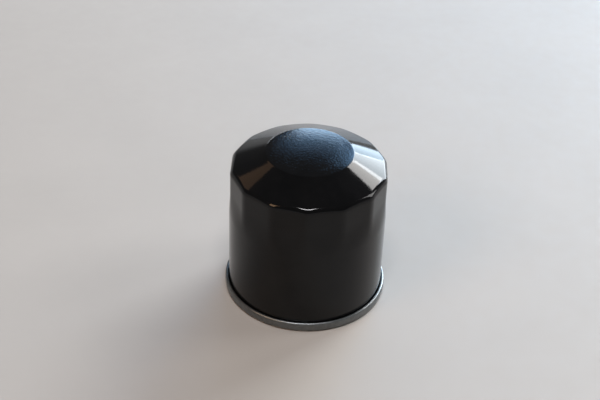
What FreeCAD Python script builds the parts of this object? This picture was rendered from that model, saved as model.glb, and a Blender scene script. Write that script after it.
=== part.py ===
import FreeCAD, Part
import math
import os
from FreeCAD import Vector

# Spin-on oil filter, standing on its gasket. Millimetres, Z up.
# The origin is on the filter's axis, in the plane of the gasket's sealing face.

# Outer can: drawn steel cup, mouth down
CAN_R = 38.2            # outside of the round wall
CAN_SHEET = 0.5
SHOULDER_Z = 69.8       # where the wall and the conical shoulder would meet without the corner bend
SHOULDER_BEND = 3.6     # outside radius of that corner
CROWN_R = 20.9          # edge of the shallow dome on top
CROWN_Z = 77.8
CROWN_BEND = 1.6
TOP_Z = 79.0
DOME_FULLNESS = 0.9     # radius of the dome's arc, as a share of the arc through its edge and its top
FLAT_COUNT = 14         # wrench flats round the top of the wall
FLAT_INRADIUS = 37.2    # axis to the middle of a flat
FLAT_FOOT_Z = 56.0      # the flats are full depth above this height
FLAT_FADE_Z = 49.0      # and have run out into the round wall at this height
FLAT_RUN_OUT = 0.05     # how far outside the wall the foot of a flat's cutter ends
FLAT_CUTTER_HALF = 12.0 # half the width of the tool that presses one flat
CAN_SPLIT_Z = 40.0      # plain round wall below, faceted wall and dome above

# Double seam that joins the lid to the can's rim
SEAM_R = 40.0           # outside of the rolled seam
SEAM_LOW_Z = 0.3        # the gasket stands this far proud of the seam
SEAM_TOP_Z = 5.1
LID_SHEET = 0.5
SEAM_GAP = 0.1          # film of compound between the folded layers
HOOK_END_Z = 4.0        # top edge of the can's hook
LID_HOOK_END_Z = 2.3    # bottom edge of the lid's hook
COMPOUND_CLEAR = 0.03   # left all round the bead of sealing compound
COMPOUND_EDGE = 0.27    # its chamfer, in the round of the fold

# Lid inside the seam: a land, two ridges and the gasket channel between them
LAND_Z = 6.3            # face of the lid that lies on the tapping plate
OUTER_RIDGE_R = (34.2, 32.2)
OUTER_RIDGE_Z = 2.15
INNER_RIDGE_R = (26.8, 25.2)
INNER_RIDGE_Z = 2.65
LID_BORE_R = 23.6
LAND_BEND = 0.9         # where the chuck wall turns into the land
RIDGE_BENDS = (0.7, 0.9, 0.9, 0.5)          # outer ridge, from its outer foot to its inner foot
INNER_RIDGE_BENDS = (0.5, 0.7, 0.7, 0.5)

# Gasket, square-cut rubber ring
GASKET_OUTER_R = 31.6
GASKET_INNER_R = 27.4
GASKET_CHAMFER = 0.5

# Tapping plate with the M20 x 1.5 threaded collar and the ring of inlet holes
PLATE_R = 36.6
PLATE_TOP_Z = 9.5
PLATE_EDGE = 0.4        # rounding of the rim
COLLAR_FOOT = 0.6       # fillet where the collar rises from the plate
COLLAR_EDGE = 0.8
THREAD_MINOR_R = 9.188
COLLAR_R = 12.0
COLLAR_TOP_Z = 16.5
MOUTH_CHAMFER = 1.0
INLET_COUNT = 8
INLET_R = 3.0
INLET_CIRCLE_R = 20.0

# Anti-drain-back valve: rubber sleeve on the collar with a skirt over the inlet holes
VALVE_BORE_R = 12.1
VALVE_SLEEVE_R = 14.4
VALVE_TOP_Z = 15.2
VALVE_LOW_Z = 10.4      # bottom of the sleeve
VALVE_LIP_R = 27.6
VALVE_LIP_Z = 9.6       # the lip rests just above the plate
VALVE_LIP_WIDTH = 1.8
VALVE_LIP_HEIGHT = 0.9
SKIRT_FOOT_R = 15.6     # underside of the skirt, where it leaves the sleeve
SKIRT_FOOT_Z = 11.7
SKIRT_END_R = 24.6      # and where it turns down into the lip
SKIRT_END_Z = 10.8
SKIRT_FOOT_BEND = 1.2
SKIRT_END_BEND = 2.0
SKIRT_ROOT_DEPTH = 1.4  # thickness of the skirt, measured upwards, at the sleeve
SKIRT_ROOT_BEND = 1.0
SKIRT_END_DEPTH = 1.1   # and where it turns down
SKIRT_END_STEP = 1.0    # its top side turns down this much further out
VALVE_FOOT_INSET = 0.4  # the sleeve is this much narrower at its foot
VALVE_FOOT_EDGE = 0.5
VALVE_BORE_EDGE = 0.3
VALVE_LIP_HEEL = 0.2    # rounding of the lip's inner corner
VALVE_LIP_EDGE = 0.4    # and of its outer ones

# Filter element
CAP_SHEET = 0.5
CAP_R = 32.45
LOWER_CAP_Z = 15.3      # underside of the lower end cap
LOWER_CAP_BORE_R = 12.4
UPPER_CAP_Z = 62.3      # top of the upper end cap
CAP_RIM = 3.4           # how far each rim reaches along the media
CAP_BEND = 0.8
GLUE = 1.8              # depth of the adhesive in each end cap
GLUE_EDGE = 0.6         # its rounding in the bend of the cap
TUBE_R = 14.6
TUBE_SHEET = 0.4
TUBE_HOLE_R = 1.5
TUBE_ROWS = 8
TUBE_HOLES_PER_ROW = 10
MEDIA_INNER_R = 16.0
MEDIA_OUTER_R = 31.2
MEDIA_THICKNESS = 0.6
PLEATS = 40
OUTER_FOLD_HALF = 0.45  # half the width of the flat of each outer fold
INNER_FOLD_HALF = 0.42
CLIP_INNER_R = 28.5
CLIP_OUTER_R = 31.85
CLIP_HALF_WIDTH = 1.25
CLIP_SHEET = 0.3
CLIP_END_GAP = 0.2      # left between the clip and the adhesive at each end

# Bypass valve, hung inside the centre tube under the upper end cap
SEAT_R = 6.5            # hole in the end cap that the valve closes
CAGE_R = 9.25
CAGE_SHEET = 0.5
CAGE_FLANGE_R = 13.4
CAGE_FLOOR_Z = 50.0
CAGE_WINDOWS = 4
CAGE_WINDOW_WIDTH = 7.0
CAGE_SILL = 2.0         # height of the windows' foot above the cage's underside
CAGE_LINTEL = 1.8       # and their top below the flange
CAGE_FLANGE_BEND = 0.5
CAGE_FLOOR_BEND = 0.9
DISC_R = 8.0
DISC_THICKNESS = 0.8
DISC_EDGE = 0.2
STEM_R = 2.0
STEM_ROOT = 0.4
STEM_TIP = 0.5
STEM_END_Z = 46.5
STEM_CLEARANCE = 0.08
SEAL_INNER_R = 5.6
SEAL_THICKNESS = 0.7
SEAT_GAP = 0.1
BYPASS_COIL_R = 5.0
BYPASS_WIRE = 0.9
BYPASS_TURNS = 5

# Holding spring between the element and the dome, with the cup it stands in
HOLD_COIL_R = 12.5
HOLD_WIRE = 2.0
HOLD_TURNS = 4
HOLD_TOP_Z = 77.9
SPRING_CUP_R = 16.0
SPRING_CUP_BORE_R = 8.5
SPRING_CUP_RIM = 2.4
SPRING_CUP_BEND = 0.7
TOUCH_GAP = 0.1         # left between pieces that press together but move apart

AXIS = Vector(0, 0, 1)
ORIGIN = Vector(0, 0, 0)
FACING = -90.0          # direction, in degrees from +X, that a corner between two flats faces


def unit(vector):
    return vector * (1 / vector.Length)


def rounded_wire(corners):
    """Closed wire through (point, radius) corners; a radius of 0 leaves the corner sharp."""
    stations = []
    for i, (here, radius) in enumerate(corners):
        back = unit(corners[i - 1][0] - here)
        ahead = unit(corners[(i + 1) % len(corners)][0] - here)
        if radius == 0:
            stations.append((here, here, here))
            continue
        half = back.getAngle(ahead) / 2
        reach = radius / math.tan(half)
        middle = here + unit(back + ahead) * (radius / math.sin(half) - radius)
        stations.append((here + back * reach, middle, here + ahead * reach))
    edges = []
    for i, (start, middle, end) in enumerate(stations):
        last = stations[i - 1][2]
        if last.distanceToPoint(start) > 1e-6:
            edges.append(Part.LineSegment(last, start).toShape())
        if start.distanceToPoint(end) > 1e-6:
            edges.append(Part.Arc(start, middle, end).toShape())
    return Part.Wire(Part.__sortEdges__(edges))


def turned(outline):
    """Solid turned about Z from a closed outline of (radius, height) or (radius, height, fillet)."""
    corners = [(Vector(p[0], 0, p[1]), p[2] if len(p) > 2 else 0) for p in outline]
    return Part.Face(rounded_wire(corners)).revolve(ORIGIN, AXIS, 360)


def shifted_corners(line, shift, normal_of):
    """A bent line moved sideways by shift, each bend radius changed to stay parallel."""
    runs = [unit(b[0] - a[0]) for a, b in zip(line, line[1:])]
    normals = [normal_of(run) for run in runs]
    moved = [(line[0][0] + normals[0] * shift, 0)]
    for i in range(1, len(line) - 1):
        corner, bend = line[i]
        mitre = normals[i - 1] + normals[i]
        slide = mitre * (shift * 2 / mitre.dot(mitre))
        turn = math.copysign(1, runs[i].dot(normals[i - 1]))
        moved.append((corner + slide, bend - turn * shift if bend else 0))
    moved.append((line[-1][0] + normals[-1] * shift, 0))
    return moved


def sheet(line, thickness):
    """Sheet metal turned about Z; line is the middle of the sheet as (radius, height, bend)."""
    path = [(Vector(p[0], 0, p[1]), p[2] if len(p) > 2 else 0) for p in line]

    def left(run):
        return Vector(-run.z, 0, run.x)

    one_face = shifted_corners(path, thickness / 2, left)
    other_face = shifted_corners(path, -thickness / 2, left)
    return Part.Face(rounded_wire(one_face + other_face[::-1])).revolve(ORIGIN, AXIS, 360)


def ring(outer_r, inner_r, low_z, high_z):
    return turned([(inner_r, low_z), (outer_r, low_z), (outer_r, high_z), (inner_r, high_z)])


def round_the_axis(shape, count, first=0.0):
    """count copies of shape, evenly spaced about Z, as one compound."""
    copies = []
    for i in range(count):
        copy = shape.copy()
        copy.rotate(ORIGIN, AXIS, first + i * 360 / count)
        copies.append(copy)
    return Part.makeCompound(copies)


def coil(middle_r, wire, low_z, high_z, turns):
    """Spring of round wire from low_z to high_z, in half turns that slope from side to side."""
    halves = 2 * turns
    rise = (high_z - low_z - wire) / halves
    reach = math.hypot(2 * middle_r, rise) / 2
    arcs = []
    for i in range(halves):
        side = 1 - 2 * (i % 2)
        z = low_z + wire / 2 + i * rise
        start = Vector(side * middle_r, 0, z)
        middle = Vector(0, side * reach, z + rise / 2)
        end = Vector(-side * middle_r, 0, z + rise)
        arcs.append(Part.Arc(start, middle, end).toShape())
    section = Part.makeCircle(wire / 2, Vector(middle_r, 0, low_z + wire / 2), Vector(0, 1, 0))
    return Part.Wire(arcs).makePipeShell([Part.Wire(section)], True, True)


def dome_envelope(inset):
    """Everything under the can's outer skin, above the split height, moved inwards by inset."""
    slope = math.atan2(CROWN_Z - SHOULDER_Z, CAN_R - CROWN_R)
    dome_rise = TOP_Z - CROWN_Z
    dome_bend = DOME_FULLNESS * (CROWN_R ** 2 + dome_rise ** 2) / (2 * dome_rise)
    crown_half = slope / 2
    outline = [
        (0, CAN_SPLIT_Z),
        (CAN_R - inset, CAN_SPLIT_Z),
        (CAN_R - inset, SHOULDER_Z - inset * math.tan((math.pi / 2 - slope) / 2), SHOULDER_BEND - inset),
        (CROWN_R - inset * math.tan(crown_half), CROWN_Z - inset, CROWN_BEND),
        (CROWN_R / 2, TOP_Z - inset, dome_bend),
        (0, TOP_Z - inset),
    ]
    return turned(outline)


def wrench_flats(inset):
    """Cutter for the flats on a skin moved inwards by inset, its foot sloping out to the round wall."""
    clear_r = CAN_R + FLAT_CUTTER_HALF
    clear_z = TOP_Z + FLAT_CUTTER_HALF
    points = [
        (FLAT_INRADIUS - inset, clear_z),
        (FLAT_INRADIUS - inset, FLAT_FOOT_Z),
        (CAN_R - inset + FLAT_RUN_OUT, FLAT_FADE_Z),
        (clear_r, FLAT_FADE_Z),
        (clear_r, clear_z),
    ]
    section = Part.makePolygon([Vector(r, -FLAT_CUTTER_HALF, z) for r, z in points + points[:1]])
    cutter = Part.Face(section).extrude(Vector(0, 2 * FLAT_CUTTER_HALF, 0))
    return round_the_axis(cutter, FLAT_COUNT, FACING + 180 / FLAT_COUNT)


def outer_can():
    outside = dome_envelope(0).cut(wrench_flats(0))
    inside = dome_envelope(CAN_SHEET).cut(wrench_flats(CAN_SHEET))
    top = outside.cut(inside)
    wall = CAN_R - CAN_SHEET / 2
    hook = SEAM_R - LID_SHEET - SEAM_GAP - CAN_SHEET / 2
    bend = (hook - wall) / 2
    floor = SEAM_LOW_Z + LID_SHEET + SEAM_GAP + CAN_SHEET / 2
    line = [(wall, CAN_SPLIT_Z), (wall, floor, bend), (hook, floor, bend), (hook, HOOK_END_Z)]
    rim = sheet(line, CAN_SHEET)
    return top.fuse(rim).removeSplitter()


def seaming_lid():
    """From the lid's hook, over the top and round the bottom of the seam, to the bore."""
    half = LID_SHEET / 2
    outer = SEAM_R - half
    fold = half + SEAM_GAP + CAN_SHEET / 2
    inner_hook = outer - 2 * fold
    chuck_wall = CAN_R - CAN_SHEET - SEAM_GAP - half
    roll = (outer - chuck_wall) / 2
    low = SEAM_LOW_Z + half
    high = SEAM_TOP_Z - half
    land = LAND_Z - half
    line = [
        (inner_hook, LID_HOOK_END_Z),
        (inner_hook, high, fold),
        (outer, high, fold),
        (outer, low, roll),
        (chuck_wall, low, roll),
        (chuck_wall, land, LAND_BEND),
    ]
    for (far, near), bottom, bends in (
        (OUTER_RIDGE_R, OUTER_RIDGE_Z + half, RIDGE_BENDS),
        (INNER_RIDGE_R, INNER_RIDGE_Z + half, INNER_RIDGE_BENDS),
    ):
        corners = [(far, land), (far, bottom), (near, bottom), (near, land)]
        line += [(r, z, bend) for (r, z), bend in zip(corners, bends)]
    line.append((LID_BORE_R, land))
    return sheet(line, LID_SHEET)


def seam_compound():
    """Bead of sealing compound in the top fold of the seam, above the can's hook."""
    outer_r = SEAM_R - LID_SHEET - COMPOUND_CLEAR
    inner_r = SEAM_R - LID_SHEET - 2 * SEAM_GAP - CAN_SHEET + COMPOUND_CLEAR
    low = HOOK_END_Z + COMPOUND_CLEAR
    high = SEAM_TOP_Z - LID_SHEET - COMPOUND_CLEAR
    outline = [
        (inner_r, low),
        (outer_r, low),
        (outer_r, high - COMPOUND_EDGE),
        (outer_r - COMPOUND_EDGE, high),
        (inner_r + COMPOUND_EDGE, high),
        (inner_r, high - COMPOUND_EDGE),
    ]
    return turned(outline)


def base_gasket():
    c = GASKET_CHAMFER
    top = LAND_Z - LID_SHEET
    outline = [
        (GASKET_INNER_R + c, 0),
        (GASKET_OUTER_R - c, 0),
        (GASKET_OUTER_R, c),
        (GASKET_OUTER_R, top),
        (GASKET_INNER_R, top),
        (GASKET_INNER_R, c),
    ]
    return turned(outline)


def tapping_plate():
    c = MOUTH_CHAMFER
    outline = [
        (THREAD_MINOR_R, LAND_Z + c),
        (THREAD_MINOR_R + c, LAND_Z),
        (PLATE_R, LAND_Z, PLATE_EDGE),
        (PLATE_R, PLATE_TOP_Z, PLATE_EDGE),
        (COLLAR_R, PLATE_TOP_Z, COLLAR_FOOT),
        (COLLAR_R, COLLAR_TOP_Z, COLLAR_EDGE),
        (THREAD_MINOR_R + c / 2, COLLAR_TOP_Z),
        (THREAD_MINOR_R, COLLAR_TOP_Z - c / 2),
    ]
    inlet = Part.makeCylinder(INLET_R, 3 * PLATE_TOP_Z, Vector(INLET_CIRCLE_R, 0, -PLATE_TOP_Z))
    return turned(outline).cut(round_the_axis(inlet, INLET_COUNT, 180 / INLET_COUNT))


def anti_drain_valve():
    outline = [
        (VALVE_BORE_R, VALVE_LOW_Z, VALVE_BORE_EDGE),
        (VALVE_SLEEVE_R - VALVE_FOOT_INSET, VALVE_LOW_Z, VALVE_FOOT_EDGE),
        (SKIRT_FOOT_R, SKIRT_FOOT_Z, SKIRT_FOOT_BEND),
        (SKIRT_END_R, SKIRT_END_Z, SKIRT_END_BEND),
        (VALVE_LIP_R - VALVE_LIP_WIDTH, VALVE_LIP_Z, VALVE_LIP_HEEL),
        (VALVE_LIP_R, VALVE_LIP_Z, VALVE_LIP_EDGE),
        (VALVE_LIP_R, VALVE_LIP_Z + VALVE_LIP_HEIGHT, VALVE_LIP_EDGE),
        (SKIRT_END_R + SKIRT_END_STEP, SKIRT_END_Z + SKIRT_END_DEPTH, SKIRT_END_BEND),
        (VALVE_SLEEVE_R, SKIRT_FOOT_Z + SKIRT_ROOT_DEPTH, SKIRT_ROOT_BEND),
        (VALVE_SLEEVE_R, VALVE_TOP_Z, VALVE_LIP_EDGE),
        (VALVE_BORE_R, VALVE_TOP_Z, VALVE_BORE_EDGE),
    ]
    return turned(outline)


def lower_end_cap():
    half = CAP_SHEET / 2
    floor = LOWER_CAP_Z + half
    rim = CAP_R - half
    line = [(LOWER_CAP_BORE_R, floor), (rim, floor, CAP_BEND), (rim, LOWER_CAP_Z + CAP_SHEET + CAP_RIM)]
    return sheet(line, CAP_SHEET)


def upper_end_cap():
    half = CAP_SHEET / 2
    roof = UPPER_CAP_Z - half
    rim = CAP_R - half
    line = [(SEAT_R, roof), (rim, roof, CAP_BEND), (rim, UPPER_CAP_Z - CAP_SHEET - CAP_RIM)]
    return sheet(line, CAP_SHEET)


def glue_ring(low_z, sharp_z):
    """Adhesive filling one end cap; the edge at sharp_z is the open one, the other sits in the cap's bend."""
    outer_r = CAP_R - CAP_SHEET
    high_z = low_z + GLUE
    outline = [
        (TUBE_R, low_z),
        (outer_r, low_z, 0 if sharp_z == low_z else GLUE_EDGE),
        (outer_r, high_z, 0 if sharp_z == high_z else GLUE_EDGE),
        (TUBE_R, high_z),
    ]
    return turned(outline)


def lower_adhesive():
    low = LOWER_CAP_Z + CAP_SHEET
    return glue_ring(low, low + GLUE)


def upper_adhesive():
    low = UPPER_CAP_Z - CAP_SHEET - GLUE
    return glue_ring(low, low)


def centre_tube():
    low = LOWER_CAP_Z + CAP_SHEET
    high = UPPER_CAP_Z - CAP_SHEET
    tube = ring(TUBE_R, TUBE_R - TUBE_SHEET, low, high)
    pitch = (high - low) / (TUBE_ROWS + 1)
    pitch_angle = 360 / TUBE_HOLES_PER_ROW
    rows = []
    for row in range(TUBE_ROWS):
        z = low + pitch * (row + 1)
        hole = Part.makeCylinder(TUBE_HOLE_R, 2 * TUBE_R, Vector(0, 0, z), Vector(1, 0, 0))
        rows.append(round_the_axis(hole, TUBE_HOLES_PER_ROW, (row % 2) * pitch_angle / 2))
    return tube.cut(Part.makeCompound(rows))


def pleated_media():
    """Folded paper: a closed zigzag band, with each fold flattened to two corners."""
    half = MEDIA_THICKNESS / 2
    outer_fold = (MEDIA_OUTER_R - half, OUTER_FOLD_HALF)
    inner_fold = (MEDIA_INNER_R + half, INNER_FOLD_HALF)
    pitch = 2 * math.pi / PLEATS
    line = []
    for i in range(PLEATS):
        for (fold_r, half_width), shift in ((outer_fold, 0), (inner_fold, 0.5)):
            centre = (i + shift) * pitch
            spread = half_width / fold_r
            for angle in (centre - spread, centre + spread):
                line.append(Vector(fold_r * math.cos(angle), fold_r * math.sin(angle), 0))
    low = LOWER_CAP_Z + CAP_SHEET + GLUE
    height = UPPER_CAP_Z - CAP_SHEET - GLUE - low

    def left(run):
        return Vector(-run.y, run.x, 0)

    solids = []
    for shift in (-half, half):
        closed = [(point, 0) for point in line[-1:] + line + line[:1]]
        corners = [corner for corner, _ in shifted_corners(closed, shift, left)[1:-1]]
        face = Part.Face(Part.makePolygon(corners + corners[:1]))
        solids.append(face.extrude(Vector(0, 0, height)))
    solids.sort(key=lambda solid: solid.Volume)
    band = solids[1].cut(solids[0])
    band.translate(Vector(0, 0, low))
    return band


def media_seam_clip():
    """Folded strip over the outer edge of the pleat where the paper's two ends meet."""
    low = LOWER_CAP_Z + CAP_SHEET + GLUE + CLIP_END_GAP
    height = UPPER_CAP_Z - CAP_SHEET - GLUE - CLIP_END_GAP - low
    w = CLIP_HALF_WIDTH
    length = CLIP_OUTER_R - CLIP_INNER_R
    strip = Part.makeBox(length, 2 * w, height, Vector(CLIP_INNER_R, -w, low))
    inside = w - CLIP_SHEET
    slot = Part.makeBox(length - CLIP_SHEET, 2 * inside, height, Vector(CLIP_INNER_R, -inside, low))
    return strip.cut(slot)


def bypass_cage():
    """Hat-shaped cup: flange under the end cap, windowed wall, floor that guides the stem."""
    half = CAGE_SHEET / 2
    flange = UPPER_CAP_Z - CAP_SHEET - half
    wall = CAGE_R - half
    floor = CAGE_FLOOR_Z + half
    line = [
        (CAGE_FLANGE_R, flange),
        (wall, flange, CAGE_FLANGE_BEND),
        (wall, floor, CAGE_FLOOR_BEND),
        (STEM_R + STEM_CLEARANCE, floor),
    ]
    cup = sheet(line, CAGE_SHEET)
    low = CAGE_FLOOR_Z + CAGE_SILL
    high = flange - CAGE_LINTEL
    width = CAGE_WINDOW_WIDTH
    window = Part.makeBox(CAGE_R, width, high - low, Vector(CAGE_R / 2, -width / 2, low))
    return cup.cut(round_the_axis(window, CAGE_WINDOWS))


def disc_top():
    return UPPER_CAP_Z - CAP_SHEET - SEAT_GAP - SEAL_THICKNESS


def bypass_disc():
    top = disc_top()
    low = top - DISC_THICKNESS
    outline = [
        (0, top),
        (DISC_R, top, DISC_EDGE),
        (DISC_R, low, DISC_EDGE),
        (STEM_R, low, STEM_ROOT),
        (STEM_R, STEM_END_Z, STEM_TIP),
        (0, STEM_END_Z),
    ]
    return turned(outline)


def bypass_seal():
    top = disc_top()
    return ring(DISC_R - DISC_EDGE, SEAL_INNER_R, top, top + SEAL_THICKNESS)


def bypass_spring():
    low = CAGE_FLOOR_Z + CAGE_SHEET
    high = disc_top() - DISC_THICKNESS - TOUCH_GAP
    return coil(BYPASS_COIL_R, BYPASS_WIRE, low, high, BYPASS_TURNS)


def spring_cup():
    half = CAP_SHEET / 2
    floor = UPPER_CAP_Z + half
    line = [
        (SPRING_CUP_BORE_R, floor),
        (SPRING_CUP_R, floor, SPRING_CUP_BEND),
        (SPRING_CUP_R, UPPER_CAP_Z + SPRING_CUP_RIM),
    ]
    return sheet(line, CAP_SHEET)


def element_spring():
    low = UPPER_CAP_Z + CAP_SHEET + TOUCH_GAP
    return coil(HOLD_COIL_R, HOLD_WIRE, low, HOLD_TOP_Z, HOLD_TURNS)


PIECES = [
    outer_can,
    seaming_lid,
    seam_compound,
    tapping_plate,
    base_gasket,
    anti_drain_valve,
    lower_end_cap,
    lower_adhesive,
    centre_tube,
    pleated_media,
    media_seam_clip,
    upper_adhesive,
    upper_end_cap,
    bypass_cage,
    bypass_disc,
    bypass_seal,
    bypass_spring,
    spring_cup,
    element_spring,
]


def main():
    os.makedirs("parts", exist_ok=True)
    for piece in PIECES:
        shape = piece()
        name = piece.__name__
        shape.exportStep("parts/" + name + ".step")
        box = shape.optimalBoundingBox(False, False)
        print(f"{name:18s} valid={shape.isValid()} solids={len(shape.Solids)} volume={shape.Volume:9.1f} mm3 "
              f"r={box.XMax:6.2f} z={box.ZMin:6.2f}..{box.ZMax:6.2f}")


main()
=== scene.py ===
import math

import bmesh
import bpy
from mathutils import Matrix, Vector


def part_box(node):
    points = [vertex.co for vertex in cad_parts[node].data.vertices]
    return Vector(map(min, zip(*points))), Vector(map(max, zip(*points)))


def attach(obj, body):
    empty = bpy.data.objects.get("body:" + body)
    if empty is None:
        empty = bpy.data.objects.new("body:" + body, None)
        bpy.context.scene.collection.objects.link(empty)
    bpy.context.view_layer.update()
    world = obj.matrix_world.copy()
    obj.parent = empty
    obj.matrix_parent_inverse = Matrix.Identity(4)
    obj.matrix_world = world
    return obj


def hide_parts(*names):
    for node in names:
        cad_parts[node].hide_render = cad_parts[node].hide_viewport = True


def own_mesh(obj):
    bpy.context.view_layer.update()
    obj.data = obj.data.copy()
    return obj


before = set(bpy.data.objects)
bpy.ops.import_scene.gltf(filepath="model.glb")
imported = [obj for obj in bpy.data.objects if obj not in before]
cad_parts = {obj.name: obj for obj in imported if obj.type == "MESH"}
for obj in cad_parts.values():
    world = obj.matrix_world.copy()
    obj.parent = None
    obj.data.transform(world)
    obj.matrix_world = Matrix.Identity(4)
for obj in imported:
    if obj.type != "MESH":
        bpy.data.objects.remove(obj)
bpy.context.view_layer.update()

MM = 0.001
TURN = 2 * math.pi


def high(node):
    """Top of a CAD node, in metres."""
    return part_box(node)[1].z


def low(node):
    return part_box(node)[0].z


def wide(node):
    """Outside radius of a round CAD node."""
    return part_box(node)[1].x


# ---------------------------------------------------------------- outlines

def corner_arc(before, here, after, radius, turn):
    """Points of the arc that rounds one corner of an outline, or the corner itself."""
    back = (before - here).normalized()
    ahead = (after - here).normalized()
    if radius <= 0:
        return [here]
    half = back.angle(ahead) / 2
    centre = here + (back + ahead).normalized() * (radius / math.sin(half))
    reach = radius / math.tan(half)
    first = here + back * reach - centre
    last = here + ahead * reach - centre
    swing = first.angle_signed(last)
    steps = max(2, math.ceil(abs(swing) / math.radians(turn)))
    points = []
    for i in range(steps + 1):
        a = -swing * i / steps
        x = first.x * math.cos(a) - first.y * math.sin(a)
        y = first.x * math.sin(a) + first.y * math.cos(a)
        points.append(centre + Vector((x, y)))
    return points


def sampled(corners, turn=9.0, closed=True):
    """An outline of (x, y, fillet) corners as points, with an arc step about every turn degrees."""
    spots = [Vector(c[:2]) for c in corners]
    fillets = [c[2] if len(c) > 2 else 0 for c in corners]
    points = []
    for i, here in enumerate(spots):
        if not closed and i in (0, len(spots) - 1):
            arc = [here]
        else:
            arc = corner_arc(spots[i - 1], here, spots[(i + 1) % len(spots)], fillets[i], turn)
        for point in arc:
            if points and (point - points[-1]).length < 1e-7:
                continue
            points.append(point)
    if closed and (points[0] - points[-1]).length < 1e-7:
        points.pop()
    return points


def divided(start, end, run):
    """Points from start to end, in even steps no longer than run."""
    pieces = math.ceil((end - start).length / run)
    return [start.lerp(end, k / pieces) for k in range(pieces)] + [end]


def parallel(line, shift, closed=False):
    """A bent line of (x, y, bend) moved sideways, each bend changed so that the lines stay parallel."""
    spots = [Vector(c[:2]) for c in line]
    bends = [c[2] if len(c) > 2 else 0 for c in line]
    count = len(spots)
    moved = []
    for i, here in enumerate(spots):
        into = (here - spots[i - 1]).normalized() if closed or i > 0 else None
        out = (spots[(i + 1) % count] - here).normalized() if closed or i < count - 1 else None
        into = into or out
        out = out or into
        normal_in = Vector((-into.y, into.x))
        normal_out = Vector((-out.y, out.x))
        mitre = normal_in + normal_out
        spot = here + mitre * (2 * shift / mitre.dot(mitre))
        side = math.copysign(1, out.dot(normal_in))
        moved.append((spot.x, spot.y, bends[i] - side * shift if bends[i] else 0))
    return moved


def sheet_outline(line, thickness, turn):
    """Closed outline of bent sheet whose middle follows line."""
    one = sampled(parallel(line, thickness / 2), turn, closed=False)
    other = sampled(parallel(line, -thickness / 2), turn, closed=False)
    return one + other[::-1]


# ---------------------------------------------------------------- meshes

def finish_mesh(name, verts, faces, sharp=32.0):
    """Smooth-shaded object from vertices and faces, with edges above the sharp angle kept crisp."""
    mesh = bpy.data.meshes.new(name)
    mesh.from_pydata([tuple(v) for v in verts], [], faces)
    work = bmesh.new()
    work.from_mesh(mesh)
    bmesh.ops.recalc_face_normals(work, faces=work.faces)
    work.to_mesh(mesh)
    work.free()
    mesh.polygons.foreach_set("use_smooth", [True] * len(mesh.polygons))
    mesh.set_sharp_from_angle(angle=math.radians(sharp))
    piece = bpy.data.objects.new(name, mesh)
    bpy.context.scene.collection.objects.link(piece)
    return piece


def lathe(name, outline_at, segments, sharp=32.0):
    """Closed outline turned about Z. outline_at(angle) gives it, always with as many points."""
    outlines = [outline_at(TURN * j / segments) for j in range(segments)]
    verts, faces, rows = [], [], []
    for i, first in enumerate(outlines[0]):
        if first.x < 1e-7:
            rows.append([len(verts)] * segments)
            verts.append((0, 0, first.y))
            continue
        rows.append(list(range(len(verts), len(verts) + segments)))
        for j, outline in enumerate(outlines):
            angle = TURN * j / segments
            verts.append((outline[i].x * math.cos(angle), outline[i].x * math.sin(angle), outline[i].y))
    for i, row in enumerate(rows):
        after = rows[(i + 1) % len(rows)]
        for j in range(segments):
            k = (j + 1) % segments
            loop = [row[j], row[k], after[k], after[j]]
            corners = list(dict.fromkeys(loop))
            if len(corners) > 2:
                faces.append(corners)
    return finish_mesh(name, verts, faces, sharp)


def tube_along(name, centres, radius, sides):
    """Round wire through centres, its ends closed by flat caps."""
    verts, faces = [], []
    count = len(centres)
    for i, centre in enumerate(centres):
        ahead = centres[min(i + 1, count - 1)] - centres[max(i - 1, 0)]
        outward = Vector((centre.x, centre.y, 0)).normalized()
        over = ahead.cross(outward).normalized()
        outward = over.cross(ahead).normalized()
        for j in range(sides):
            a = TURN * j / sides
            verts.append(centre + (outward * math.cos(a) + over * math.sin(a)) * radius)
    for i in range(count - 1):
        for j in range(sides):
            k = (j + 1) % sides
            faces.append([i * sides + j, i * sides + k, (i + 1) * sides + k, (i + 1) * sides + j])
    faces.append(list(range(sides)))
    faces.append([(count - 1) * sides + j for j in range(sides)])
    return finish_mesh(name, verts, faces, 50.0)


def carve(piece, cutters):
    """Cuts the cutters out of piece and deletes them."""
    for cutter in cutters:
        cut = piece.modifiers.new("cut", "BOOLEAN")
        cut.operation = "DIFFERENCE"
        cut.solver = "EXACT"
        cut.object = cutter
    bpy.context.view_layer.update()
    shaped = bpy.data.meshes.new_from_object(piece.evaluated_get(bpy.context.evaluated_depsgraph_get()))
    piece.modifiers.clear()
    piece.data = shaped
    shaped.polygons.foreach_set("use_smooth", [True] * len(shaped.polygons))
    shaped.set_sharp_from_angle(angle=math.radians(32))
    for cutter in cutters:
        bpy.data.objects.remove(cutter)
    return piece


# ---------------------------------------------------------------- materials

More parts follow.
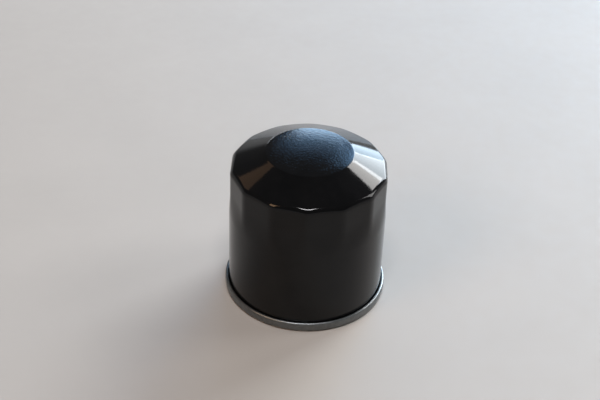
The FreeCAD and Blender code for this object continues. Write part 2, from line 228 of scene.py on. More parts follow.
class Finish:
    """A procedural material: one Principled shader, with its textures in the object's own space."""

    def __init__(self, name, **constants):
        self.material = bpy.data.materials.new(name)
        self.material.use_nodes = True
        self.tree = self.material.node_tree
        self.shader = self.tree.nodes["Principled BSDF"]
        self.place = self.add("ShaderNodeTexCoord").outputs["Object"]
        for socket, value in constants.items():
            self.shader.inputs[socket.replace("_", " ")].default_value = value

    def add(self, kind, **settings):
        node = self.tree.nodes.new(kind)
        for key, value in settings.items():
            setattr(node, key, value)
        return node

    def link(self, source, target):
        self.tree.links.new(source, target)

    def noise(self, size_mm, detail=2.0, rough=0.5, stretch=(1, 1, 1), warp=0.0):
        """Noise with features of about size_mm, longer along the axes where stretch is small."""
        mapping = self.add("ShaderNodeMapping")
        mapping.inputs["Scale"].default_value = [s / (size_mm * MM) for s in stretch]
        self.link(self.place, mapping.inputs["Vector"])
        noise = self.add("ShaderNodeTexNoise")
        noise.inputs["Scale"].default_value = 1.0
        noise.inputs["Detail"].default_value = detail
        noise.inputs["Roughness"].default_value = rough
        noise.inputs["Distortion"].default_value = warp
        self.link(mapping.outputs["Vector"], noise.inputs["Vector"])
        return noise.outputs["Fac"]

    def ranged(self, value, low_in, high_in, low_out, high_out):
        node = self.add("ShaderNodeMapRange")
        ends = {"From Min": low_in, "From Max": high_in, "To Min": low_out, "To Max": high_out}
        for key, number in ends.items():
            node.inputs[key].default_value = number
        self.link(value, node.inputs["Value"])
        return node.outputs["Result"]

    def maths(self, operation, a, b):
        node = self.add("ShaderNodeMath", operation=operation)
        for socket, value in zip(node.inputs, (a, b)):
            if isinstance(value, (int, float)):
                socket.default_value = value
            else:
                self.link(value, socket)
        return node.outputs["Value"]

    def colours(self, value, *stops):
        """Colour from value through (position, (r, g, b)) stops."""
        ramp = self.add("ShaderNodeValToRGB")
        while len(ramp.color_ramp.elements) < len(stops):
            ramp.color_ramp.elements.new(0.5)
        for element, (position, colour) in zip(ramp.color_ramp.elements, stops):
            element.position = position
            element.color = (*colour, 1)
        self.link(value, ramp.inputs["Fac"])
        return ramp.outputs["Color"]

    def paint(self, colour):
        self.link(colour, self.shader.inputs["Base Color"])

    def roughness(self, value):
        self.link(value, self.shader.inputs["Roughness"])

    def bump(self, value, depth_mm, strength=1.0, onto=None):
        node = self.add("ShaderNodeBump")
        node.inputs["Distance"].default_value = depth_mm * MM
        node.inputs["Strength"].default_value = strength
        self.link(value, node.inputs["Height"])
        if onto:
            self.link(onto, node.inputs["Normal"])
        self.link(node.outputs["Normal"], self.shader.inputs["Normal"])
        return node.outputs["Normal"]

    def height(self):
        """The object-space height, in metres."""
        split = self.add("ShaderNodeSeparateXYZ")
        self.link(self.place, split.inputs["Vector"])
        return split.outputs["Z"]


DOME_HAZE = 0.02            # roughness added on the dome
DOME_PEEL = 15.0            # how much deeper the dome's orange peel is


def black_paint():
    """Gloss stoving enamel: deep black, faint orange peel that is coarser on the dome."""
    f = Finish("black_enamel", IOR=1.4, Specular_IOR_Level=0.37)
    on_dome = f.ranged(f.height(), CROWN_Z - 0.4 * MM, CROWN_Z + 0.4 * MM, 0, 1)
    cloud = f.noise(9, detail=3)
    f.paint(f.colours(cloud, (0.3, (0.0020, 0.0022, 0.0025)), (0.7, (0.0038, 0.0038, 0.0042))))
    haze = f.ranged(f.noise(4, detail=4), 0.35, 0.7, 0.065, 0.095)
    f.roughness(f.maths("ADD", haze, f.maths("MULTIPLY", on_dome, DOME_HAZE)))
    peel = f.noise(1.3, detail=1, rough=0.4)
    coarse = f.maths("MULTIPLY", f.noise(0.9, detail=2, rough=0.5), f.maths("MULTIPLY", on_dome, DOME_PEEL))
    f.bump(f.maths("ADD", peel, coarse), 0.006)
    return f.material


FOOT_SHADE_FROM = 0.2 * MM        # the painted shade along the foot is full up to this height above the seam's foot
FOOT_SHADE_TO = 0.9 * MM          # and gone at this one


def zinc():
    """Dull zinc on pressed sheet: drawn streaks round the axis, a faint spangle, painted shade along the
    foot.
    """
    f = Finish("zinc_plate", Metallic=1.0)
    spangle = f.noise(2.2, detail=4, rough=0.6, warp=0.4)
    # painted shade: the ring darkens towards its foot, standing in for the contact shadow where it meets the
    # table
    unshaded = f.ranged(f.height(), SEAM_LOW_Z + FOOT_SHADE_FROM, SEAM_LOW_Z + FOOT_SHADE_TO, 0.15, 1)
    # the first colour stop is the near-black painted shade at the foot
    foot_shade, deep, tint = (0.01, 0.01, 0.01), (0.135, 0.144, 0.148), (0.195, 0.206, 0.208)
    f.paint(f.colours(f.maths("MULTIPLY", spangle, unshaded), (0.0, foot_shade), (0.3, deep), (0.72, tint)))
    f.roughness(f.ranged(f.noise(0.9, detail=3), 0.3, 0.75, 0.30, 0.44))
    streaks = f.noise(0.5, detail=3, rough=0.6, stretch=(0.12, 0.12, 2.0))
    f.bump(streaks, 0.012, 0.7)
    return f.material


def plate_steel():
    """Thick plated pressing: rolled grain and a matt, slightly yellow zinc."""
    f = Finish("tapping_plate_steel", Metallic=1.0)
    blotch = f.noise(5, detail=5, rough=0.65)
    f.paint(f.colours(blotch, (0.25, (0.30, 0.29, 0.25)), (0.75, (0.47, 0.46, 0.41))))
    f.roughness(f.ranged(f.noise(1.4, detail=4), 0.3, 0.7, 0.32, 0.5))
    f.bump(f.noise(0.35, detail=4, rough=0.6, stretch=(1.0, 0.15, 1.0)), 0.02, 0.8)
    return f.material


def rubber(name, dark, light, rough=(0.48, 0.68)):
    """Moulded rubber or sealant: mottled, with a fine matt grain."""
    f = Finish(name, Specular_IOR_Level=0.35)
    f.paint(f.colours(f.noise(3, detail=5, rough=0.7), (0.3, dark), (0.75, light)))
    f.roughness(f.ranged(f.noise(1.2, detail=4), 0.3, 0.7, *rough))
    f.bump(f.noise(0.25, detail=4, rough=0.65), 0.012, 0.8)
    return f.material


def tin(name, dark, light, rough=(0.24, 0.4), grain=(1.0, 0.1, 1.0)):
    """Thin plated sheet with rolling lines."""
    f = Finish(name, Metallic=1.0)
    f.paint(f.colours(f.noise(6, detail=4, rough=0.6), (0.3, dark), (0.7, light)))
    f.roughness(f.ranged(f.noise(1.0, detail=4), 0.3, 0.7, *rough))
    f.bump(f.noise(0.3, detail=3, rough=0.6, stretch=grain), 0.01, 0.7)
    return f.material


def filter_paper():
    """Resin-cured paper: fibres, blotches and the fine corrugation pressed across the pleats."""
    f = Finish("pleat_paper", Specular_IOR_Level=0.25)
    blotch = f.noise(7, detail=6, rough=0.7)
    dark, middle, light = (0.50, 0.335, 0.13), (0.62, 0.45, 0.20), (0.70, 0.54, 0.28)
    f.paint(f.colours(blotch, (0.28, dark), (0.5, middle), (0.75, light)))
    f.roughness(f.ranged(f.noise(1.0, detail=4), 0.3, 0.7, 0.72, 0.9))
    fibres = f.noise(0.35, detail=6, rough=0.75, stretch=(1, 1, 0.35))
    first = f.bump(fibres, 0.05, 0.8)
    wave = f.add("ShaderNodeTexWave", bands_direction="Z")
    wave.inputs["Scale"].default_value = 120.0
    wave.inputs["Distortion"].default_value = 0.6
    f.link(f.place, wave.inputs["Vector"])
    f.bump(wave.outputs["Fac"], 0.06, 0.5, onto=first)
    return f.material


def plastisol():
    """Cast adhesive: satin, slightly translucent tan with small bubbles."""
    f = Finish("cast_adhesive", Specular_IOR_Level=0.45)
    f.paint(f.colours(f.noise(5, detail=4), (0.3, (0.36, 0.25, 0.13)), (0.7, (0.50, 0.37, 0.21))))
    f.roughness(f.ranged(f.noise(2, detail=3), 0.3, 0.7, 0.35, 0.55))
    bubbles = f.add("ShaderNodeTexVoronoi", feature="SMOOTH_F1")
    bubbles.inputs["Scale"].default_value = 700.0
    f.link(f.place, bubbles.inputs["Vector"])
    f.bump(f.ranged(bubbles.outputs["Distance"], 0.1, 0.5, 0, 1), 0.04, 0.5)
    return f.material


def spring_wire():
    """Oil-tempered wire: dark oxide with drawing marks and brighter patches."""
    f = Finish("spring_wire_steel", Metallic=1.0)
    oxide = f.noise(2.5, detail=5, rough=0.65)
    f.paint(f.colours(oxide, (0.3, (0.10, 0.095, 0.09)), (0.75, (0.24, 0.235, 0.225))))
    f.roughness(f.ranged(f.noise(0.8, detail=4), 0.3, 0.7, 0.28, 0.45))
    f.bump(f.noise(0.2, detail=4, rough=0.6), 0.01, 0.7)
    return f.material


# ---------------------------------------------------------------- the can

CAN_SHEET = 0.5 * MM
LID_SHEET = 0.5 * MM
SEAM_GAP = 0.1 * MM
SEAM_R = wide("seaming_lid")
SEAM_LOW_Z = low("seaming_lid")
SEAM_OVERHANG = 1.8 * MM    # how far the seam stands out from the round wall
CAN_R = SEAM_R - SEAM_OVERHANG
TOP_Z = high("outer_can")
CROWN_R = 20.9 * MM
CROWN_Z = TOP_Z - 1.2 * MM
CROWN_BEND = 1.6 * MM
DOME_FULLNESS = 0.9         # radius of the dome's arc, as a share of the arc through its edge and its top
SHOULDER_Z = TOP_Z - 9.2 * MM
SHOULDER_BEND = 3.6 * MM
HOOK_END_Z = 4.0 * MM
FLAT_COUNT = 14
FLAT_INRADIUS = CAN_R - 1.0 * MM
FLAT_FULL_Z = 59.0 * MM     # the flats are full depth above this height
FLAT_GONE_Z = 44.0 * MM     # and have faded into the round wall at this one
FLAT_CORNER = 9.0 * MM      # rounding of the wall where two flats meet
FLAT_SEGMENTS = 24
WALL_ROWS = 40
WALL_TOP_BENDS = 1.2        # the wall's rows start this many bend radii below the shoulder


def flat_radius(angle):
    """Distance from the axis to the ring of flats, whose rounded corners face -Y and every pitch from it."""
    pitch = TURN / FLAT_COUNT
    off_corner = (angle + math.pi / 2 + pitch / 2) % pitch - pitch / 2
    off_flat = pitch / 2 - abs(off_corner)
    hub = (FLAT_INRADIUS - FLAT_CORNER) / math.cos(pitch / 2)
    straight = math.atan(hub * math.sin(pitch / 2) / FLAT_INRADIUS)
    if off_flat < straight:
        return FLAT_INRADIUS / math.cos(off_flat)
    across = hub * math.sin(off_corner)
    return hub * math.cos(off_corner) + math.sqrt(FLAT_CORNER ** 2 - across ** 2)


def can_shell():
    """Drawn can: dome, cone, shoulder, flats fading into the round wall, hook inside the seam."""
    half = CAN_SHEET / 2
    hook = SEAM_R - LID_SHEET - SEAM_GAP - half
    bend = (hook - CAN_R + half) / 2
    foot = SEAM_LOW_Z + LID_SHEET + SEAM_GAP + half
    rise = TOP_Z - CROWN_Z
    dome_radius = DOME_FULLNESS * (CROWN_R ** 2 + rise ** 2) / (2 * rise)
    slope = math.atan2(CROWN_Z - SHOULDER_Z, CAN_R - CROWN_R)
    wall_top = SHOULDER_Z - SHOULDER_BEND * WALL_TOP_BENDS

    def outline_at(angle):
        """Section in one direction: the shoulder's bend follows the flats, which fade lower down."""
        flat = flat_radius(angle)
        corner = SHOULDER_Z + (CAN_R - flat) * math.tan(slope)
        line = [
            (0, TOP_Z - half),
            (CROWN_R / 2, TOP_Z - half, dome_radius),
            (CROWN_R - half * math.tan(slope / 2), CROWN_Z - half, CROWN_BEND),
            (flat - half, corner - half * math.tan((math.pi / 2 - slope) / 2), SHOULDER_BEND - half),
        ]
        for i in range(WALL_ROWS):
            z = wall_top + (FLAT_GONE_Z - wall_top) * i / (WALL_ROWS - 1)
            share = min(1.0, max(0.0, (FLAT_FULL_Z - z) / (FLAT_FULL_Z - FLAT_GONE_Z)))
            faded = share * share * (3 - 2 * share)
            line.append((flat + (CAN_R - flat) * faded - half, z))
        line += [(CAN_R - half, foot, bend), (hook, foot, bend), (hook, HOOK_END_Z)]
        return sheet_outline(line, CAN_SHEET, turn=2.5)

    return lathe("can_shell", outline_at, FLAT_COUNT * FLAT_SEGMENTS, sharp=60)


# ---------------------------------------------------------------- the base

SEAM_HEIGHT = 4.8 * MM
LID_HOOK_END_Z = 2.3 * MM
LAND_BEND = 0.9 * MM
RIDGES = (                  # far radius, near radius, height of the lower face, bend
    (34.2 * MM, 32.2 * MM, 2.15 * MM, 0.9 * MM),
    (26.8 * MM, 25.2 * MM, 2.65 * MM, 0.7 * MM),
)
RIDGE_ROOT = 0.5 * MM
LID_BORE_R = 23.6 * MM
ROLLER_WAVE = 0.008 * MM


def rolled_lid():
    """Seam ring, land, two ridges and gasket channel, from the hook inside the seam to the bore."""
    half = LID_SHEET / 2
    outer = SEAM_R - half
    fold = half + SEAM_GAP + CAN_SHEET / 2
    hook = outer - 2 * fold
    chuck_wall = CAN_R - CAN_SHEET - SEAM_GAP - half
    roll = (outer - chuck_wall) / 2
    bottom = SEAM_LOW_Z + half
    top = SEAM_LOW_Z + SEAM_HEIGHT - half
    land = high("seaming_lid") - half
    line = [
        (hook, LID_HOOK_END_Z),
        (hook, top, fold),
        (outer, top, fold),
        (outer, bottom, roll),
        (chuck_wall, bottom, roll),
        (chuck_wall, land, LAND_BEND),
    ]
    for far, near, face, bend in RIDGES:
        depth = face + half
        line += [(far, land, RIDGE_ROOT), (far, depth, bend), (near, depth, bend), (near, land, RIDGE_ROOT)]
    line.append((LID_BORE_R, land))
    outline = sheet_outline(line, LID_SHEET, turn=8)

    def outline_at(angle):
        """The seaming rollers leave faint waves round the outside of the ring."""
        wave = 1.6 + math.sin(31 * angle) + 0.6 * math.sin(47 * angle + 1.3)
        return [Vector((p.x - ROLLER_WAVE * wave, p.y)) if p.x > outer else p for p in outline]

    return lathe("rolled_lid", outline_at, 320)


GASKET_INNER_R = 27.4 * MM
GASKET_FOOT_ROUND = 0.55 * MM
GASKET_TOP_ROUND = 0.25 * MM
GROOVE_DEPTH = 0.12 * MM    # shallow moulded groove along the middle of the sealing face
GROOVE_MOUTH = 0.9 * MM     # half its width at the face
GROOVE_FLOOR = 0.6 * MM     # and at its floor
GROOVE_ROUND = 0.3 * MM


def gasket_ring():
    """Square-cut rubber ring with rounded edges and a shallow groove in its sealing face."""
    outer = wide("base_gasket")
    top = high("base_gasket")
    middle = (GASKET_INNER_R + outer) / 2
    outline = sampled([
        (GASKET_INNER_R, 0, GASKET_FOOT_ROUND),
        (middle - GROOVE_MOUTH, 0, GROOVE_ROUND),
        (middle - GROOVE_FLOOR, GROOVE_DEPTH, GROOVE_ROUND),
        (middle + GROOVE_FLOOR, GROOVE_DEPTH, GROOVE_ROUND),
        (middle + GROOVE_MOUTH, 0, GROOVE_ROUND),
        (outer, 0, GASKET_FOOT_ROUND),
        (outer, top, GASKET_TOP_ROUND),
        (GASKET_INNER_R, top, GASKET_TOP_ROUND),
    ], turn=12)
    return lathe("gasket_ring", lambda angle: outline, 240, sharp=50)


THREAD_MINOR_R = 9.188 * MM
THREAD_MAJOR_R = 10.0 * MM
THREAD_PITCH = 1.5 * MM
THREAD_CREST = 0.25         # share of the pitch taken by the flat crest
THREAD_FLANKS = 0.625       # and by the two flanks
THREAD_RUN_OUT = 0.4 * MM
DECK_Z = 9.5 * MM           # top of the plate round the collar
PLATE_ROUND = 0.4 * MM
COLLAR_R = 12.0 * MM
COLLAR_FOOT = 0.6 * MM
COLLAR_ROUND = 0.8 * MM
MOUTH_CHAMFER = 1.0 * MM
INLET_COUNT = 8
INLET_R = 3.0 * MM
INLET_CIRCLE_R = 20.0 * MM
INLET_CHAMFER = 0.3 * MM


def thread_depth(turns):
    """How deep the internal thread is at this many pitches along: flat crest, flank, flat root, flank."""
    phase = abs((turns % 1.0) - 0.5) * 2
    return min(1.0, max(0.0, (phase - THREAD_CREST) / THREAD_FLANKS))


def threaded_plate():
    """Tapping plate: chamfered mouth, right-hand thread through the collar, ring of inlet holes."""
    bottom = low("tapping_plate")
    top = high("tapping_plate")
    rim = wide("tapping_plate")
    lead = MOUTH_CHAMFER
    bore_foot = Vector((THREAD_MINOR_R, bottom + lead))
    bore_top = Vector((THREAD_MINOR_R, top - lead / 2))
    bore = divided(bore_foot, bore_top, THREAD_PITCH / 12)
    body = sampled([
        (THREAD_MINOR_R, top - lead / 2),
        (THREAD_MINOR_R + lead / 2, top),
        (COLLAR_R, top, COLLAR_ROUND),
        (COLLAR_R, DECK_Z, COLLAR_FOOT),
        (rim, DECK_Z, PLATE_ROUND),
        (rim, bottom, PLATE_ROUND),
        (THREAD_MINOR_R + lead, bottom),
        (THREAD_MINOR_R, bottom + lead),
    ], closed=False)
    outline = bore + body[1:-1]
    span = top - lead / 2 - bottom - lead

    def outline_at(angle):
        """The thread's groove climbs the bore and runs out at both ends."""
        cut = []
        for point in outline[:len(bore)]:
            up = point.y - bottom - lead
            fade = max(0.0, min(1.0, up / THREAD_RUN_OUT, (span - up) / THREAD_RUN_OUT))
            depth = fade * thread_depth(point.y / THREAD_PITCH - angle / TURN)
            cut.append(Vector((point.x + depth * (THREAD_MAJOR_R - THREAD_MINOR_R), point.y)))
        return cut + outline[len(bore):]

    plate = lathe("threaded_plate", outline_at, 180)
    mouth_r = INLET_R + INLET_CHAMFER
    drill = [
        Vector((0, bottom - MM)),
        Vector((mouth_r, bottom - MM)),
        Vector((mouth_r, bottom)),
        Vector((INLET_R, bottom + INLET_CHAMFER)),
        Vector((INLET_R, DECK_Z - INLET_CHAMFER)),
        Vector((mouth_r, DECK_Z)),
        Vector((mouth_r, DECK_Z + MM)),
        Vector((0, DECK_Z + MM)),
    ]
    cutters = []
    for i in range(INLET_COUNT):
        around = TURN * (i + 0.5) / INLET_COUNT
        cutter = lathe(f"inlet_cutter_{i}", lambda angle: drill, 40)
        cutter.location = (INLET_CIRCLE_R * math.cos(around), INLET_CIRCLE_R * math.sin(around), 0)
        cutters.append(cutter)
    return carve(plate, cutters)


VALVE_BORE_R = 12.1 * MM
VALVE_SLEEVE_R = 14.4 * MM
VALVE_FOOT_Z = 10.4 * MM
VALVE_FOOT_INSET = 0.4 * MM     # the sleeve is this much narrower at its foot
VALVE_FOOT_ROUND = 0.5 * MM
VALVE_BORE_ROUND = 0.3 * MM
SKIRT_FOOT = (15.6 * MM, 11.7 * MM, 1.2 * MM)   # radius, height and bend where the skirt leaves the sleeve
SKIRT_END = (24.6 * MM, 10.8 * MM, 2.0 * MM)    # and where it turns down into the lip
SKIRT_TOP_END = (25.6 * MM, 11.9 * MM, 2.0 * MM)
SKIRT_TOP_Z = 13.1 * MM
SKIRT_TOP_BEND = 1.0 * MM
LIP_WIDTH = 1.8 * MM
LIP_HEIGHT = 0.9 * MM
LIP_HEEL = 0.2 * MM
LIP_ROUND = 0.4 * MM


def drain_valve_skirt():
    """Rubber sleeve with its skirt and lip."""
    top = high("anti_drain_valve")
    lip = low("anti_drain_valve")
    rim = wide("anti_drain_valve")
    outline = sampled([
        (VALVE_BORE_R, VALVE_FOOT_Z, VALVE_BORE_ROUND),
        (VALVE_SLEEVE_R - VALVE_FOOT_INSET, VALVE_FOOT_Z, VALVE_FOOT_ROUND),
        SKIRT_FOOT,
        SKIRT_END,
        (rim - LIP_WIDTH, lip, LIP_HEEL),
        (rim, lip, LIP_ROUND),
        (rim, lip + LIP_HEIGHT, LIP_ROUND),
        SKIRT_TOP_END,
        (VALVE_SLEEVE_R, SKIRT_TOP_Z, SKIRT_TOP_BEND),
        (VALVE_SLEEVE_R, top, LIP_ROUND),
        (VALVE_BORE_R, top, VALVE_BORE_ROUND),
    ], turn=10)
    return lathe("drain_valve_skirt", lambda angle: outline, 200)


# ---------------------------------------------------------------- springs and paper

HOLDING_WIRE = 2.0 * MM
HOLDING_TURNS = 5
BYPASS_WIRE = 0.9 * MM
BYPASS_TURNS = 6
CLOSED_TURN = 0.75          # part of a turn that lies closed at each end
CLOSED_PITCH = 1.02         # its pitch, in wire diameters
EASING = 0.08               # part of a turn over which the pitch changes
STEPS_PER_TURN = 48


def coil_spring(name, node, wire, turns):
    """Compression spring with its end turns closed up, in the space of its CAD coil."""
    bottom, top = low(node), high(node)
    middle = wide(node) - wire / 2
    height = top - bottom - wire
    steps = turns * STEPS_PER_TURN
    closed = CLOSED_TURN

    def rise(t):
        """Share of the height reached after t turns: slow in the end turns, even in between."""
        pitch = CLOSED_PITCH * wire / height
        slow = min(t, closed) + max(0.0, t - (turns - closed))
        even = min(max(t - closed, 0.0), turns - 2 * closed)
        return pitch * slow + (1 - 2 * closed * pitch) * even / (turns - 2 * closed)

    centres = []
    for i in range(steps + 1):
        t = turns * i / steps
        share = rise(t)
        if 0 < i < steps:
            share = (rise(max(0, t - EASING)) + 2 * share + rise(min(turns, t + EASING))) / 4
        angle = TURN * t
        z = bottom + wire / 2 + height * share
        centres.append(Vector((middle * math.cos(angle), middle * math.sin(angle), z)))
    return tube_along(name, centres, wire / 2, sides=24)


PLEATS = 40
PAPER = 0.6 * MM
PAPER_INNER_R = 16.0 * MM
OUTER_FOLD_HALF = 0.45 * MM     # half the width of the flat of each outer fold
INNER_FOLD_HALF = 0.42 * MM
FOLD_BEND = 0.42 * MM
PLEAT_LEAN = 0.006              # most that a pleat leans sideways, in radians
PLEAT_SHORT = 0.15 * MM         # by how much a pleat stops short of the full radius, on average
PAPER_LEVELS = 8


def folded_paper():
    """Pleated band: rounded folds, each pleat leaning a little differently from its neighbours."""
    bottom, top = low("pleated_media"), high("pleated_media")
    half = PAPER / 2
    outer = wide("pleated_media") - half
    inner = PAPER_INNER_R + half
    line = []
    for i in range(PLEATS):
        lean = PLEAT_LEAN * math.sin(5.3 * i)
        short = PLEAT_SHORT * (1 + math.sin(2.7 * i))
        outer_fold = (outer, outer - short, OUTER_FOLD_HALF, TURN * i / PLEATS + lean)
        inner_fold = (inner, inner, INNER_FOLD_HALF, TURN * (i + 0.5) / PLEATS)
        for fold, reach, width, centre in (outer_fold, inner_fold):
            for side in (-1, 1):
                a = centre + side * width / fold
                line.append((reach * math.cos(a), reach * math.sin(a), FOLD_BEND))
    verts, faces = [], []
    for shift in (-half, half):
        loop = sampled(parallel(line, shift, closed=True), turn=25)
        size = len(loop)
        for k in range(PAPER_LEVELS + 1):
            z = bottom + (top - bottom) * k / PAPER_LEVELS
            verts += [(p.x, p.y, z) for p in loop]
        first = len(verts) - size * (PAPER_LEVELS + 1)
        for k in range(PAPER_LEVELS):
            a = first + k * size
            for j in range(size):
                n = (j + 1) % size
                faces.append([a + j, a + n, a + size + n, a + size + j])
    work = finish_mesh("folded_paper", verts, faces, 50)
    close_ends(work)
    return work


def close_ends(piece):
    """Fills the open rims between the inner and outer skin at each end."""
    work = bmesh.new()
    work.from_mesh(piece.data)
    rims = [e for e in work.edges if e.is_boundary]
    heights = sorted({round(e.verts[0].co.z, 6) for e in rims})
    for z in heights:
        ring = [e for e in rims if abs(e.verts[0].co.z - z) < 1e-6]
        bmesh.ops.triangle_fill(work, use_beauty=True, edges=ring)
    bmesh.ops.recalc_face_normals(work, faces=work.faces)
    work.to_mesh(piece.data)
    work.free()
    piece.data.polygons.foreach_set("use_smooth", [True] * len(piece.data.polygons))
    piece.data.set_sharp_from_angle(angle=math.radians(50))


# ---------------------------------------------------------------- assembly

zinc_sheet = zinc()
steel_spring = spring_wire()
cap_tin = tin("tin_plate", (0.40, 0.39, 0.36), (0.60, 0.59, 0.56))
made = [
    (can_shell(), "outer_can", "housing", "black_paint", black_paint()),
    (rolled_lid(), "seaming_lid", "housing", "zinc_sheet", zinc_sheet),
    (gasket_ring(), "base_gasket", "housing", "gasket_rubber",
     rubber("gasket_nitrile", (0.010, 0.010, 0.011), (0.022, 0.022, 0.023))),
    (threaded_plate(), "tapping_plate", "housing", "plate_steel", plate_steel()),
    (drain_valve_skirt(), "anti_drain_valve", "drain_valve", "valve_rubber",
     rubber("valve_silicone", (0.23, 0.030, 0.018), (0.34, 0.052, 0.032), (0.38, 0.58))),
    (coil_spring("holding_spring", "element_spring", HOLDING_WIRE, HOLDING_TURNS),
     "element_spring", "housing", "spring_steel", steel_spring),
    (coil_spring("bypass_coil", "bypass_spring", BYPASS_WIRE, BYPASS_TURNS),
     "bypass_spring", "element", "spring_steel", steel_spring),
    (folded_paper(), "pleated_media", "element", "filter_paper", filter_paper()),
]
for piece, node, body, slot, material in made:
    piece.data.materials.clear()
    piece.data.materials.append(material)
    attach(piece, body)
    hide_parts(node)


def flatten(name):
    """Gives a deforming piece its own copy of its mesh."""
    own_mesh(bpy.data.objects[name])


flatten("holding_spring")
flatten("bypass_coil")
flatten("drain_valve_skirt")

kept = {
    "seam_compound": rubber("seam_sealant_grey", (0.15, 0.16, 0.155), (0.22, 0.24, 0.23)),
    "lower_end_cap": cap_tin,
    "upper_end_cap": cap_tin,
    "spring_cup": cap_tin,
    "media_seam_clip": cap_tin,
    "lower_adhesive": plastisol(),
    "upper_adhesive": plastisol(),
    "centre_tube": tin("perforated_tube", (0.38, 0.38, 0.37), (0.57, 0.57, 0.56), grain=(0.15, 0.15, 1.5)),
    "bypass_cage": tin("valve_pressing", (0.42, 0.40, 0.36), (0.58, 0.57, 0.53)),
    "bypass_disc": tin("valve_disc_steel", (0.45, 0.43, 0.40), (0.62, 0.61, 0.58), rough=(0.2, 0.34)),
    "bypass_seal": rubber("seal_nitrile", (0.015, 0.015, 0.015), (0.03, 0.03, 0.03)),
}
for node, material in kept.items():
    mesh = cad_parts[node].data
    if not mesh.materials:
        mesh.materials.append(material)
    for i in range(len(mesh.materials)):
        mesh.materials[i] = material


# ---------------------------------------------------------------- floor, light, camera

TABLE_HALF = 5.0
LIGHT_DISTANCE = 4.0


def emit_card(name, azimuth, elevation, width, height, colour, power):
    """Soft box that fills the given angles, in degrees, as seen from the filter's top. Azimuth 0 is +Y."""
    a, e = math.radians(azimuth), math.radians(elevation)
    toward = Vector((math.sin(a) * math.cos(e), math.cos(a) * math.cos(e), math.sin(e)))
    light = bpy.data.lights.new(name, "AREA")
    light.shape = "RECTANGLE"
    light.size = 2 * LIGHT_DISTANCE * math.tan(math.radians(width) / 2)
    light.size_y = 2 * LIGHT_DISTANCE * math.tan(math.radians(height) / 2)
    area = light.size * light.size_y
    light.energy = power * math.pi * area
    light.color = colour
    lamp = bpy.data.objects.new(name, light)
    lamp.location = Vector((0, 0, TOP_Z)) + toward * LIGHT_DISTANCE
    lamp.rotation_euler = toward.to_track_quat("Z", "Y").to_euler()
    lamp.visible_camera = False
    bpy.context.scene.collection.objects.link(lamp)


def floor():
    """Plain pale table, wide enough for every view."""
    mesh = bpy.data.meshes.new("table_top")
    corners = [(-1, -1), (1, -1), (1, 1), (-1, 1)]
    mesh.from_pydata([(x * TABLE_HALF, y * TABLE_HALF, 0) for x, y in corners], [], [[0, 1, 2, 3]])
    top = bpy.data.objects.new("table_top", mesh)
    bpy.context.scene.collection.objects.link(top)
    f = Finish("pale_table", Specular_IOR_Level=0.3)
    f.paint(f.colours(f.noise(60, detail=3), (0.3, (0.357, 0.340, 0.319)), (0.7, (0.372, 0.354, 0.333))))
    f.roughness(f.ranged(f.noise(8, detail=3), 0.3, 0.7, 0.5, 0.6))
    mesh.materials.append(f.material)


def lights():
    """Windows and sky behind and to the right, mirrored in the dome and cone, a lamp and soft fill."""
    emit_card("window_right", 39, 17, 25, 30, (0.84, 0.93, 1.0), 12.5)
    emit_card("window_middle", 21, 18, 11, 28, (0.66, 0.84, 1.0), 9.0)
    emit_card("window_sky", 10, 19, 24, 9, (0.45, 0.70, 1.0), 9.0)
    emit_card("window_low", -5, 12.5, 28, 4, (0.86, 0.93, 1.0), 12.0)
    emit_card("sky_upper", 13, 29, 34, 11, (0.30, 0.58, 1.0), 1.5)
    emit_card("sky_right", 18, 34, 14, 11, (0.32, 0.61, 1.0), 4.8)
    emit_card("window_high", 38, 36, 18, 14, (1.0, 0.99, 0.97), 12.0)
    emit_card("warm_card", -54, 40, 18, 16, (1.0, 0.60, 0.35), 0.9)
    emit_card("warm_low", -128, 38, 20, 22, (1.0, 0.62, 0.36), 6.0)
    emit_card("lamp", 180, 70, 20, 10, (1.0, 0.98, 1.0), 32.0)
    emit_card("fill_right", 76, 30, 18, 30, (1.0, 0.98, 0.97), 6.0)


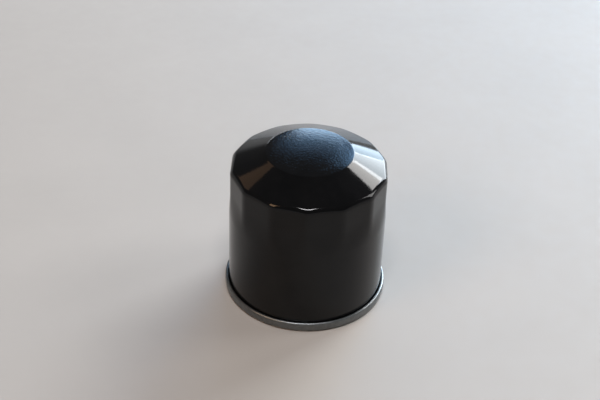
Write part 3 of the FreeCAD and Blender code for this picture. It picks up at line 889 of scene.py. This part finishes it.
def room():
    """Pale wall low round the horizon, dark above it."""
    world = bpy.data.worlds.new("room")
    world.use_nodes = True
    tree = world.node_tree
    direction = tree.nodes.new("ShaderNodeTexCoord")
    split = tree.nodes.new("ShaderNodeSeparateXYZ")
    tree.links.new(direction.outputs["Generated"], split.inputs["Vector"])
    fade = tree.nodes.new("ShaderNodeMapRange")
    fade.interpolation_type = "SMOOTHSTEP"
    for socket, value in (("From Min", 0.10), ("From Max", 0.24), ("To Min", 0.5), ("To Max", 0.10)):
        fade.inputs[socket].default_value = value
    tree.links.new(split.outputs["Z"], fade.inputs["Value"])
    background = tree.nodes["Background"]
    background.inputs["Color"].default_value = (0.98, 0.99, 1.0, 1)
    tree.links.new(fade.outputs["Result"], background.inputs["Strength"])
    bpy.context.scene.world = world


CAMERA_DISTANCE = 15.288 * SEAM_R
CAMERA_RISE = 39.506        # degrees above the table, seen from the filter's foot
CAMERA_TILT = 35.734        # degrees that the view looks down
CAMERA_PAN = -0.463         # degrees; negative aims to the left of the filter's axis
CAMERA_ROLL = 2.195
CAMERA_LENS = 72.0


def camera():
    """Long lens from above the front, aimed a little beside the filter's axis and slightly rolled."""
    rise, tilt = math.radians(CAMERA_RISE), math.radians(CAMERA_TILT)
    pan, roll = math.radians(CAMERA_PAN), math.radians(CAMERA_ROLL)
    forward = Vector((math.sin(pan) * math.cos(tilt), math.cos(pan) * math.cos(tilt), -math.sin(tilt)))
    level = Vector((math.cos(pan), -math.sin(pan), 0))
    above = level.cross(forward)
    right = level * math.cos(roll) + above * math.sin(roll)
    up = above * math.cos(roll) - level * math.sin(roll)
    data = bpy.data.cameras.new("view")
    data.lens = CAMERA_LENS
    data.sensor_width = 36.0
    eye = bpy.data.objects.new("view", data)
    turn = Matrix((right, up, -forward)).transposed().to_4x4()
    place = Vector((0, -math.cos(rise), math.sin(rise))) * CAMERA_DISTANCE
    eye.matrix_world = Matrix.Translation(place) @ turn
    bpy.context.scene.collection.objects.link(eye)
    bpy.context.scene.camera = eye


floor()
lights()
room()
camera()
bpy.context.scene.view_settings.view_transform = "Standard"
